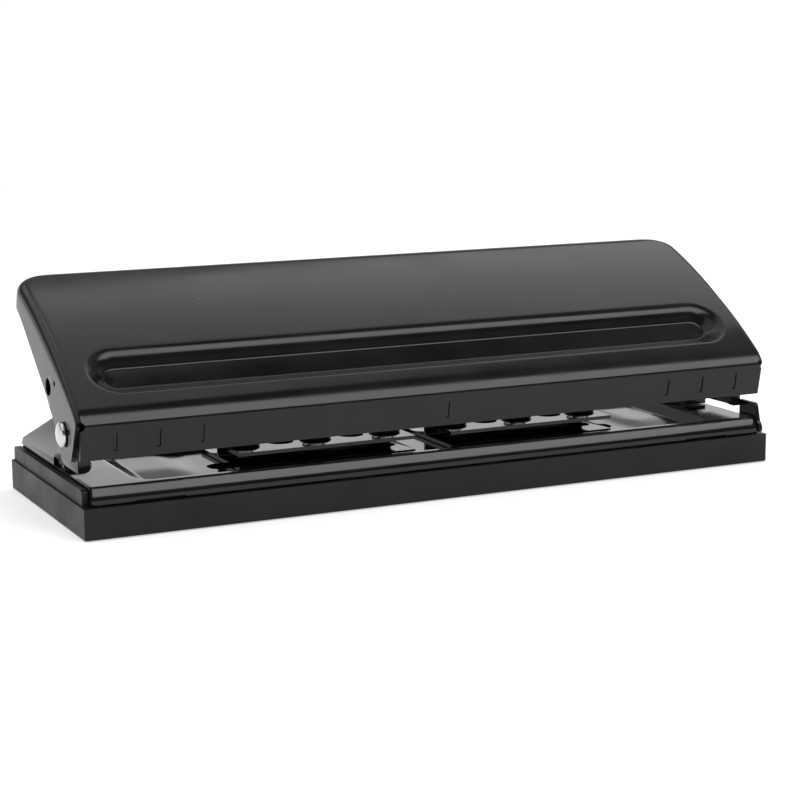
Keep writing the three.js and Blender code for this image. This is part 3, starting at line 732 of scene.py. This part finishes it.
def build_press_bar():
    """The folded strip under the crown: a round nose over the pins, a web, and a strap up to the crown."""
    nose_y, nose_z, radius = PRESS_NOSE["y"], PRESS_NOSE["z"], PRESS_NOSE["radius"]
    half_web, bend, sheet, reach = 0.6, 0.8, 1.2, 9
    seat_y, seat_z = crown.place(PRESS_SEAT, -PRESS_DROP)
    far_y, far_z = crown.place(PRESS_SEAT + reach, -PRESS_DROP)
    slope = (far_z - seat_z) / (far_y - seat_y)
    nose = arc((nose_y, nose_z), radius, 180, 360, 20)

    def strap(y, below):
        return (y, seat_z + (y - seat_y) * slope - below)

    outline = [
        *nose, *arc((nose_y + half_web + bend, nose_z + radius), bend, 225, 180, 4),
        strap(nose_y + half_web, sheet), strap(far_y, sheet), strap(far_y, 0),
        strap(nose_y - half_web - 0.6, 0), strap(nose_y - half_web, 0.7),
        *arc((nose_y - half_web - bend, nose_z + radius), bend, 0, -45, 4),
    ]
    bar = prism("press_strip", outline, -PRESS_HALF, PRESS_HALF, "x")
    return install(shade(bevel(bar, 0.15, 2, 50), 40), "press_bar")


# ---- base plate ----

def rounded_box_distance(x, y, half_x, y0, y1, corner):
    """Distance outside a rounded rectangle, negative inside it."""
    dx = np.abs(x) - half_x + corner
    dy = np.abs(y - (y0 + y1) / 2) - (y1 - y0) / 2 + corner
    return np.hypot(np.maximum(dx, 0), np.maximum(dy, 0)) + np.minimum(np.maximum(dx, dy), 0) - corner


def eased(t, soft):
    """A straight slope from 0 to 1 with its two ends rounded over."""
    t = np.clip(t, 0, 1)
    scale = 1 / (1 - soft)
    low = t * t / (2 * soft) * scale
    high = 1 - (1 - t) ** 2 / (2 * soft) * scale
    return np.where(t < soft, low, np.where(t > 1 - soft, high, (t - soft / 2) * scale))


def front_roll():
    """The front edge's outline from the flat top down: a tight bend, a long shallow one, and the skirt."""
    p = PLATE
    bends = [(radius, math.radians(a), math.radians(b)) for radius, a, b in FRONT_BENDS]
    y = p["half_y"] - sum(radius * (math.sin(b) - math.sin(a)) for radius, a, b in bends)
    z = p["top"]
    line = [(y, z)]
    for radius, a, b in bends:
        for turn in np.linspace(a, b, 8)[1:]:
            run = radius * (math.sin(turn) - math.sin(a))
            line.append((y + run, z - radius * (math.cos(a) - math.cos(turn))))
        y, z = line[-1]
    return line + [(p["half_y"], z + (p["skirt"] - z) * t) for t in (0.5, 1)]


def base_skin():
    """The plate's upper surface with its recess, and the front and back edges folded down."""
    p, r = PLATE, RECESS
    flat = p["half_y"] - p["roll"]
    roll = front_roll()
    rows = spaced((-roll[0][0], 0.2), (-17.5, 1.6), (3.0, 0.2), (12.6, 1.8), (flat, 1))
    columns = spaced((-p["half_x"], 1.0), (-81, 0.3), (-69, 2.4), (69, 0.3), (81, 1.0), (p["half_x"], 1))
    x, y = np.meshgrid(columns, rows)
    mouth = -rounded_box_distance(x, y, r["half_x"], r["front"], r["back"], 5.0)
    floor = rounded_box_distance(
        x, y, r["half_x"] - r["end"], r["front"] + r["side"], r["back"] - r["side"], 3.0
    )
    inside = np.maximum(mouth, 0)
    t = np.where(floor <= 0, 1, inside / np.maximum(inside + np.maximum(floor, 0), 1e-9))
    rearward = smooth_step((y - SWELL_Y[0]) / SWELL_Y[1])
    swell = FLOOR_SWELL * rearward * smooth_step((np.abs(x) - SWELL_X[0]) / SWELL_X[1])
    z = p["top"] - (p["top"] - r["floor"] - swell) * eased(t, 0.2)
    sheet = [list(zip(*row)) for row in zip(x, y, z)]
    front = [[(u, -yy, zz) for u in columns] for yy, zz in roll[1:]]
    back = arc((flat, p["top"] - p["roll"]), p["roll"], 90, 0, 8)[1:]
    back += [(p["half_y"], zz) for zz in np.linspace(p["top"] - p["roll"], p["skirt"], 4)[1:]]
    back = [[(u, yy, zz) for u in columns] for yy, zz in back]
    lines = front[::-1] + sheet + back
    points = [point for line in lines for point in line]
    return face_outwards_up(make_object("base_pressing", points, grid_faces(len(lines), len(columns))))


def build_base_plate():
    plate = solidify(base_skin(), PLATE["sheet"])
    tools = []
    for side in (-1, 1):
        first = side * (HEAD["centre"] - PIN_PITCH)
        last = side * (HEAD["centre"] + PIN_PITCH + HEAD_TRAVEL)
        tools.append(slot_tool(*sorted((first, last)), PIN_Y, PIN_SLOT, 7, 11))
        for offset in (-SCREW_SPREAD, SCREW_SPREAD):
            rest = side * HEAD["centre"] + offset
            ends = sorted((rest, rest + side * HEAD_TRAVEL))
            tools.append(slot_tool(*ends, SCREW_Y, SCREW_SLOT, 7, 11))
    for x, y in BRACKET_RIVETS.values():
        tools.append(rod("tool", RIVET_HOLE, 9, 13, (x, y), "z", 32))
    cut(plate, *tools)
    bevel(plate, 0.16, 2, 50)
    return install(shade(plate, 40), "base_plate", finish="plate_paint")


# ---- chip tray and feet ----

def build_tray():
    t = TRAY
    body = prism("tray_body", round_rect(-t["x"], t["x"], -t["y"], t["y"], 0.6), t["low"], t["top"], "z")
    inner_x, inner_y = t["x"] - t["wall"], t["y"] - t["wall"]
    inside = round_rect(-inner_x, inner_x, -inner_y, inner_y, 1.0)
    cut(body, prism("tool", inside, t["floor"], t["top"] + 2, "z"))
    # raised end walls, which start further back on the right to let the paper guide out
    foot, shoulder, round_end, rear = 5.6, 10.1, 1.2, 30.5
    for span, front in (((-93.4, -91.95), -28.2), ((91.95, 93.4), -20.6)):
        outline = [
            (front, foot), *arc((front + round_end, shoulder), round_end, 180, 90, 6),
            *arc((rear - round_end, shoulder), round_end, 90, 0, 6), (rear, foot),
        ]
        join(body, prism("tool", outline, *span, "x"))
    cut(body, *(rod("tool", 5.3, -1, 1.2, (x, y), "z", 48) for x, y in FEET.values()))
    # shallow ribs across the floor keep it flat
    for x in (-60, -20, 20, 60):
        rib = round_rect(x - 0.5, x + 0.5, -30.5, 30.5, 0.3, 3)
        join(body, prism("tool", rib, t["floor"] - 0.3, t["floor"] + 0.5, "z"))
    bevel(body, 0.25, 3, 50)
    install(shade(body, 35), "chip_tray")
    for name, (x, y) in FEET.items():
        profile = [(0, 0.15), (2.2, 0.15), (2.4, 0), (3.0, 0), (3.2, 0.15), (3.6, 0.15), (3.8, 0), (4.7, 0)]
        profile += [(5, 0.3), (5, 0.95), (4.95, 1.0), (0, 1.0)]
        pad = shift(turned("pad_" + name, profile, 64), x, y, 0)
        install(shade(pad, 30), name)


# ---- side brackets, pivots ----

def build_bracket(side):
    """A cheek with a round top at the pivot, a foot on the base plate and a short return in front."""
    out, sheet, floor, foot_sheet = 92.2, 1.5, 12.2, 1.2
    inner = out - sheet
    py, pz = PIVOT
    # the return stops just under the pivot rivet's head
    return_top = pz - 3.65
    cheek = [(27.6, floor), *arc((25.6, 13.2), 1.0, 10, 66, 4)]
    cheek += arc((py, pz), 6.3, 67.7, 120.5, 20)
    cheek += [(-21.7, 13.9), *arc((-8.1, 14.7), 0.8, 270, 330, 4)]
    cheek += [(-6.6, 14.4), (-2.3, 14.4), *arc((-2.4, 13.6), 0.8, 30, 0, 3), (-1.6, floor)]
    wall = prism(f"{side}_bracket_sheet", cheek, inner, out, "x")
    foot = [(82.6, -0.7), (86.2, -6.9), (91.2, -6.9), (91.2, 27), *arc((83.6, 26), 1, 90, 180, 5)]
    join(wall, prism("tool", foot, floor, floor + foot_sheet, "z"))
    # the bend between the cheek and its foot
    bend = floor + 2.2
    web = [(inner + 0.1, floor + 1.1), (inner + 0.1, bend), *arc((inner - 1.0, bend), 1.0, 0, -90, 6)]
    join(wall, prism("tool", web, 0, 26, "y"))
    lip = [(out - 0.1, 13.9), (out - 0.1, return_top), (89.1, return_top)]
    lip += arc((90.3, 15.1), 1.2, 180, 270, 6)
    join(wall, prism("tool", lip, -21.7, -20.2, "y"))
    tools = [rod("tool", 2.1, inner - 2, out + 2, PIVOT, "x", 40)]
    tools += [rod("tool", RIVET_HOLE, floor - 1, floor + 3, (86.5, y), "z", 32) for y in (6, 21)]
    cut(wall, *tools)
    bevel(wall, 0.3, 3, 50)
    if side == "left":
        wall.data.transform(Matrix.Scale(-1, 4, (1, 0, 0)))
        wall.data.flip_normals()
    return install(shade(wall, 40), f"{side}_bracket", finish="lever_paint")


def build_pivots():
    """The pivot rivets, a round dome outside and a flat head inside, each with its washer."""
    dome = [(3.05 * math.cos(a), 94.9 + 1.1 * math.sin(a)) for a in np.radians((0, 12, 25, 40, 55, 70, 82))]
    profile = [(0, 89.2), (2.8, 89.2), (3.05, 89.4), (3.05, 90.2), (1.8, 90.2), (1.8, 94.55), (2.95, 94.55)]
    profile += [(3.05, 94.65), *dome, (0, 96.0)]
    washer = [(2.1, 92.5), (2.15, 92.45), (4.9, 92.45), (5, 92.5), (5, 92.8)]
    washer += [(4.9, 92.85), (2.15, 92.85), (2.1, 92.8), (2.1, 92.5)]
    for side, sign in (("left", -1), ("right", 1)):
        turn = Matrix.Rotation(sign * math.pi / 2, 4, "Y")
        for name, outline in ((f"{side}_pivot_rivet", profile), (f"{side}_pivot_washer", washer)):
            piece = turned(name + "_turned", outline, 96)
            piece.data.transform(turn)
            install(shade(shift(piece, 0, *PIVOT), 30), name)


def build_bracket_rivets():
    profile = [(0, 9.6), (2.2, 9.6), (2.4, 9.8), (2.4, 10.6), (1.3, 10.6), (1.3, 13.65), (2.75, 13.65)]
    dome = np.radians((0, 15, 30, 45, 60, 75))
    profile += [(2.8 * math.cos(a), 13.75 + 1.0 * math.sin(a)) for a in dome] + [(0, 14.75)]
    for name, (x, y) in BRACKET_RIVETS.items():
        piece = shift(turned(name + "_turned", profile, 48), x, y, 0)
        install(shade(piece, 30), name)


# ---- punch heads ----

def head_frame_mesh():
    """The Z-shaped stamping: a foot on the recess floor, a web and a shelf that holds the pins."""
    h = HEAD
    half = h["length"] / 2
    low, low_top, high, top = 10.2, 11.1, 13.7, 14.6
    section = [
        (h["front"], low), (h["back"], low), (h["back"], low_top), (h["web"] + 0.9, low_top),
        *arc((h["web"] - 0.3, high - 0.3), 1.2, 0, 90, 6), (h["front"], top), (h["front"], high),
        *arc((h["web"] - 0.3, high - 0.3), 0.3, 90, 0, 4), (h["web"], low_top), (h["front"], low_top),
    ]
    frame_piece = prism("head_stamping", section, -half, half, "x")
    pin_hole, shelf_hole = 2.8, 3.35
    tools = []
    for x in PIN_OFFSETS:
        tools.append(rod("tool", pin_hole, low - 1, low_top + 0.5, (x, PIN_Y), "z", 48))
        tools.append(rod("tool", shelf_hole, high - 0.5, top + 1, (x, PIN_Y), "z", 48))
    for x in (-PIN_PITCH / 2, PIN_PITCH / 2):
        tools.append(rod("tool", shelf_hole, high - 0.5, top + 1, (x, PIN_Y), "z", 48))
    for x in (-SCREW_SPREAD, SCREW_SPREAD):
        tools.append(rod("tool", SCREW_SLOT, low - 1, low_top + 1, (x, SCREW_Y), "z", 32))
    cut(frame_piece, *tools)
    return shade(bevel(frame_piece, 0.13, 2, 50), 40)


def spring_mesh():
    """A fine coil with its end turns closed up."""
    wire, radius, turns = 0.3, 3.05, 5.5
    steps, sides = 200, 10
    closed, closed_rise = 0.13, 0.085
    t = np.linspace(0, 1, steps + 1)
    turn = 2 * math.pi * turns * t
    rise = np.interp(t, (0, closed, 1 - closed, 1), (0, closed_rise, 1 - closed_rise, 1))
    z = SPRING_LOW + wire + (SPRING_HIGH - SPRING_LOW - 2 * wire) * rise
    path = np.stack([radius * np.cos(turn), radius * np.sin(turn), z], axis=1)
    along = np.gradient(path, axis=0)
    along /= np.linalg.norm(along, axis=1)[:, None]
    out = np.stack([np.cos(turn), np.sin(turn), np.zeros_like(turn)], axis=1)
    up = np.cross(along, out)
    angles = np.arange(sides) * 2 * math.pi / sides
    points = []
    for p, o, u in zip(path, out, up):
        points += [tuple(p + wire * (math.cos(a) * o + math.sin(a) * u)) for a in angles]
    faces = []
    for i in range(steps):
        for j in range(sides):
            k = (j + 1) % sides
            faces.append((i * sides + j, i * sides + k, (i + 1) * sides + k, (i + 1) * sides + j))
    faces += [tuple(range(sides))[::-1], tuple(range(steps * sides, (steps + 1) * sides))]
    return shade(face_outwards(make_object("spring", points, faces)), 50)


def pin_mesh():
    """A punch pin with a hollow tip and a groove for its clip."""
    tip, top, r, neck, neck_top = 13.95, 24.9, 2.5, 23.3, 23.9
    hollow = [(r * 0.92 * f, tip + 0.9 * (1 - f**2)) for f in (0, 0.2, 0.4, 0.6, 0.8, 1.0)]
    profile = hollow + [(r - 0.04, tip), (r, tip + 0.08), (r, neck - 0.05), (r - 0.06, neck), (2.0, neck)]
    profile += [(2.0, neck_top), (r - 0.06, neck_top), (r, neck_top + 0.06), (r, top - 0.45)]
    profile += [(r - 0.12, top - 0.15), (r - 0.45, top), (0, top)]
    return shade(turned("pin", profile, 64), 30)


def sleeve_mesh():
    """The flanged sleeve that guides a pin through the shelf."""
    profile = [
        (2.75, 13.85), (2.85, 13.75), (2.97, 13.75), (3.05, 13.85), (3.05, 14.8), (3.9, 14.8), (4.0, 14.88),
        (4.0, 15.12), (3.85, 15.28), (3.7, 15.3), (2.9, 15.3), (2.75, 15.15), (2.75, 13.85),
    ]
    return shade(turned("sleeve", profile, 64), 30)


def clip_mesh():
    """An open clip with one tooth that reaches into the pin's groove."""
    mouth = math.degrees(0.9)
    outer, bore, tooth = 4.2, 2.3, 2.1
    outline = [
        *arc((0, 0), outer, mouth, 360 - mouth, 56), *arc((0, 0), bore, 360 - mouth, 200, 16),
        *arc((0, 0), tooth, 194, 166, 4), *arc((0, 0), bore, 160, mouth, 16),
    ]
    return shade(bevel(prism("clip", outline, 23.35, 23.85, "z"), 0.07, 2, 50), 40)


def screw_mesh():
    """A slotted screw with a short ribbed thread."""
    seat, top, shank, head = 11.3, 12.8, 1.3, 2.6
    end, thread, thread_top, thread_pitch, thread_deep = 6.9, 7.2, 9.4, 0.4, 0.16
    profile = [(0, end), (shank - 0.3, end), (shank, thread)]
    z = thread
    while z < thread_top:
        profile += [(shank - thread_deep, z + thread_pitch / 2), (shank, z + thread_pitch)]
        z += thread_pitch
    profile += [(shank, seat), (head - 0.1, seat), (head, seat + 0.1), (head, top - 0.6)]
    profile += [(head - 0.12, top - 0.3), (head - 0.4, top - 0.08), (head - 0.8, top), (0, top)]
    piece = turned("screw", profile, 64)
    half_slot, reach = 0.35, 3
    slot = [(-reach, -half_slot), (reach, -half_slot), (reach, half_slot), (-reach, half_slot)]
    cut(piece, prism("tool", slot, top - 0.6, top + 1, "z"))
    return shade(piece, 30)


def clamp_mesh():
    """The plate under the base plate that the head's screws pull up."""
    half = HEAD["length"] / 2 - 4
    piece = prism("clamp", round_rect(-half, half, -2, 4, 1.2), 7.4, 8.8, "z")
    spread = (-SCREW_SPREAD, SCREW_SPREAD)
    cut(piece, *(rod("tool", SCREW_SLOT, 6, 10, (x, SCREW_Y), "z", 32) for x in spread))
    return shade(bevel(piece, 0.16, 2, 50), 40)


def place_copy(pattern, node, x, y, squash=None):
    """A copy of a pattern at one place; when squash is given, the copy gets a mesh of its own."""
    piece = bpy.data.objects.new(node + "_fine", pattern.data.copy())
    scene.collection.objects.link(piece)
    shift(piece, x, y, 0)
    if squash:
        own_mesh(piece)
    return install(piece, node)


def build_heads():
    patterns = {
        "head_frame": head_frame_mesh(), "clamp_plate": clamp_mesh(), "head_screw": screw_mesh(),
        "guide_sleeve": sleeve_mesh(), "pin": pin_mesh(), "pin_clip": clip_mesh(), "spring": spring_mesh(),
    }
    for side, sign in (("left", -1), ("right", 1)):
        centre = sign * HEAD["centre"]
        place_copy(patterns["head_frame"], f"{side}_head_frame", centre, 0)
        place_copy(patterns["clamp_plate"], f"{side}_clamp_plate", centre, 0)
        for end, turn in (("inner", -sign), ("outer", sign)):
            x = centre + turn * SCREW_SPREAD
            place_copy(patterns["head_screw"], f"{side}_head_screw_{end}", x, SCREW_Y)
        for number, offset in enumerate(PIN_OFFSETS, 1):
            x = centre + offset
            for kind in ("guide_sleeve", "pin", "pin_clip"):
                place_copy(patterns[kind], f"{side}_{kind}_{number}", x, PIN_Y)
            squash = (f"{side}_pins_slide", SPRING_LOW, 1 - PIN_STROKE / (SPRING_HIGH - SPRING_LOW))
            place_copy(patterns["spring"], f"{side}_spring_{number}", x, PIN_Y, squash)
    for pattern in patterns.values():
        bpy.data.objects.remove(pattern)


# ---- paper guide and keepers ----

def build_guide():
    """The paper guide's flat arm with its upright stop, and the two keepers that it slides in."""
    low, high, front, back, top = 7.95, 8.75, -27, -21.6, 15.5
    near, far = 12, 92.8
    arm = [(near, front), (far, front), (far, back), (near + 1, back), (near, back - 1)]
    arm = prism("guide_strip", arm, low, high, "z")
    stop = [(back + 0.4, low), (back + 0.4, top), *arc((-27.3, top - 1.1), 1.1, 90, 167, 6), (-29.2, 11.4)]
    stop += [(-29.55, 10.6), (-30.3, 9.6), (-30.4, low)]
    join(arm, prism("tool", stop, 92.3, 93.5, "x"))
    bevel(arm, 0.2, 3, 50)
    install(shade(arm, 40), "paper_guide", finish="lever_paint")
    sheet, keeper_top, gap, tab, half = 0.7, 8.9, 0.3, 4, 3
    bottom, front, rear = low - gap - sheet, front - gap, back + gap
    outline = [
        (front - sheet, keeper_top), (front - sheet, bottom), (rear + sheet, bottom),
        (rear + sheet, keeper_top - sheet), (rear + tab, keeper_top - sheet), (rear + tab, keeper_top),
        (rear, keeper_top), (rear, bottom + sheet), (front, bottom + sheet), (front, keeper_top),
    ]
    for name, x in (("guide_keeper_inner", 50), ("guide_keeper_outer", 76)):
        keeper = prism(name + "_strap", outline, x - half, x + half, "x")
        install(shade(bevel(keeper, 0.14, 2, 50), 40), name)


# ---- room, light and camera ----

def stage_floor():
    """A round sheet of pale paper."""
    rim = [(x, y, 0) for x, y in arc((0, 0), FLOOR_RADIUS, 0, 357, 119)]
    floor = make_object("studio_floor", rim, [tuple(range(len(rim)))])
    paper = Finish("studio_paper", (0.86, 0.86, 0.86), 0.9)
    paper.vary_color(3, (0.86, 0.86, 0.86), (0.845, 0.845, 0.845))
    paper.shader.inputs["Emission Color"].default_value = (1, 1, 1, 1)
    paper.shader.inputs["Emission Strength"].default_value = FLOOR_GLOW
    floor.data.materials.append(paper.material)


def soft_light(name, height, across, along, turn, level):
    """A level rectangular softbox. Its spans are shares of its height, measured from above the object."""
    lamp = bpy.data.lights.new(name, "AREA")
    lamp.shape = "RECTANGLE"
    lamp.size = height * (across[1] - across[0])
    lamp.size_y = height * (along[1] - along[0])
    lamp.energy = level * math.pi * lamp.size * lamp.size_y
    holder = bpy.data.objects.new(name, lamp)
    scene.collection.objects.link(holder)
    holder.location = (height * sum(across) / 2, height * sum(along) / 2, height)
    holder.rotation_euler = (0, 0, math.radians(turn))
    return holder


def light_room():
    """A pale sweep round the horizon, a dim wall over it, a dark ceiling, a dimmer front, and the lamps."""
    world = bpy.data.worlds.new("studio")
    scene.world = world
    world.use_nodes = True
    tree = world.node_tree
    background = tree.nodes["Background"]
    direction = tree.nodes.new("ShaderNodeTexCoord").outputs["Generated"]
    parts = tree.nodes.new("ShaderNodeSeparateXYZ")
    link(tree, direction, parts.inputs[0])
    ramp = tree.nodes.new("ShaderNodeValToRGB")
    elements = ramp.color_ramp.elements
    while len(elements) > 1:
        elements.remove(elements[-1])
    for index, (sine, level) in enumerate(SKY_LEVELS):
        element = elements[0] if index == 0 else elements.new(sine)
        element.position = sine
        element.color = (level, level, level, 1)
    link(tree, parts.outputs["Z"], ramp.inputs["Fac"])
    link(tree, ramp.outputs["Color"], background.inputs["Color"])
    dim = tree.nodes.new("ShaderNodeMapRange")
    dim.inputs["From Min"].default_value, dim.inputs["From Max"].default_value = FRONT_DIM_SPAN
    dim.inputs["To Min"].default_value = FRONT_DIM * SKY_STRENGTH
    dim.inputs["To Max"].default_value = SKY_STRENGTH
    link(tree, parts.outputs["Y"], dim.inputs["Value"])
    link(tree, dim.outputs["Result"], background.inputs["Strength"])
    for lamp in LAMPS:
        soft_light(*lamp)


def set_camera():
    """The camera at the photograph's place, from its place, aim and up direction."""
    camera = bpy.data.cameras.new("camera")
    camera.lens = CAMERA_LENS
    camera.sensor_width = 36
    camera.clip_start = 0.01
    camera.clip_end = 100
    holder = bpy.data.objects.new("camera", camera)
    scene.collection.objects.link(holder)
    back = -Vector(CAMERA_AIM).normalized()
    right = Vector(CAMERA_UP).cross(back).normalized()
    up = back.cross(right)
    turn = Matrix((right, up, back)).transposed().to_4x4()
    holder.matrix_world = Matrix.Translation(Vector(CAMERA_PLACE) * MM) @ turn
    scene.camera = holder
    scene.view_settings.view_transform = "Standard"


build_lever()
build_press_bar()
build_base_plate()
build_tray()
for side in ("left", "right"):
    build_bracket(side)
build_pivots()
build_bracket_rivets()
build_heads()
build_guide()
stage_floor()
light_room()
set_camera()
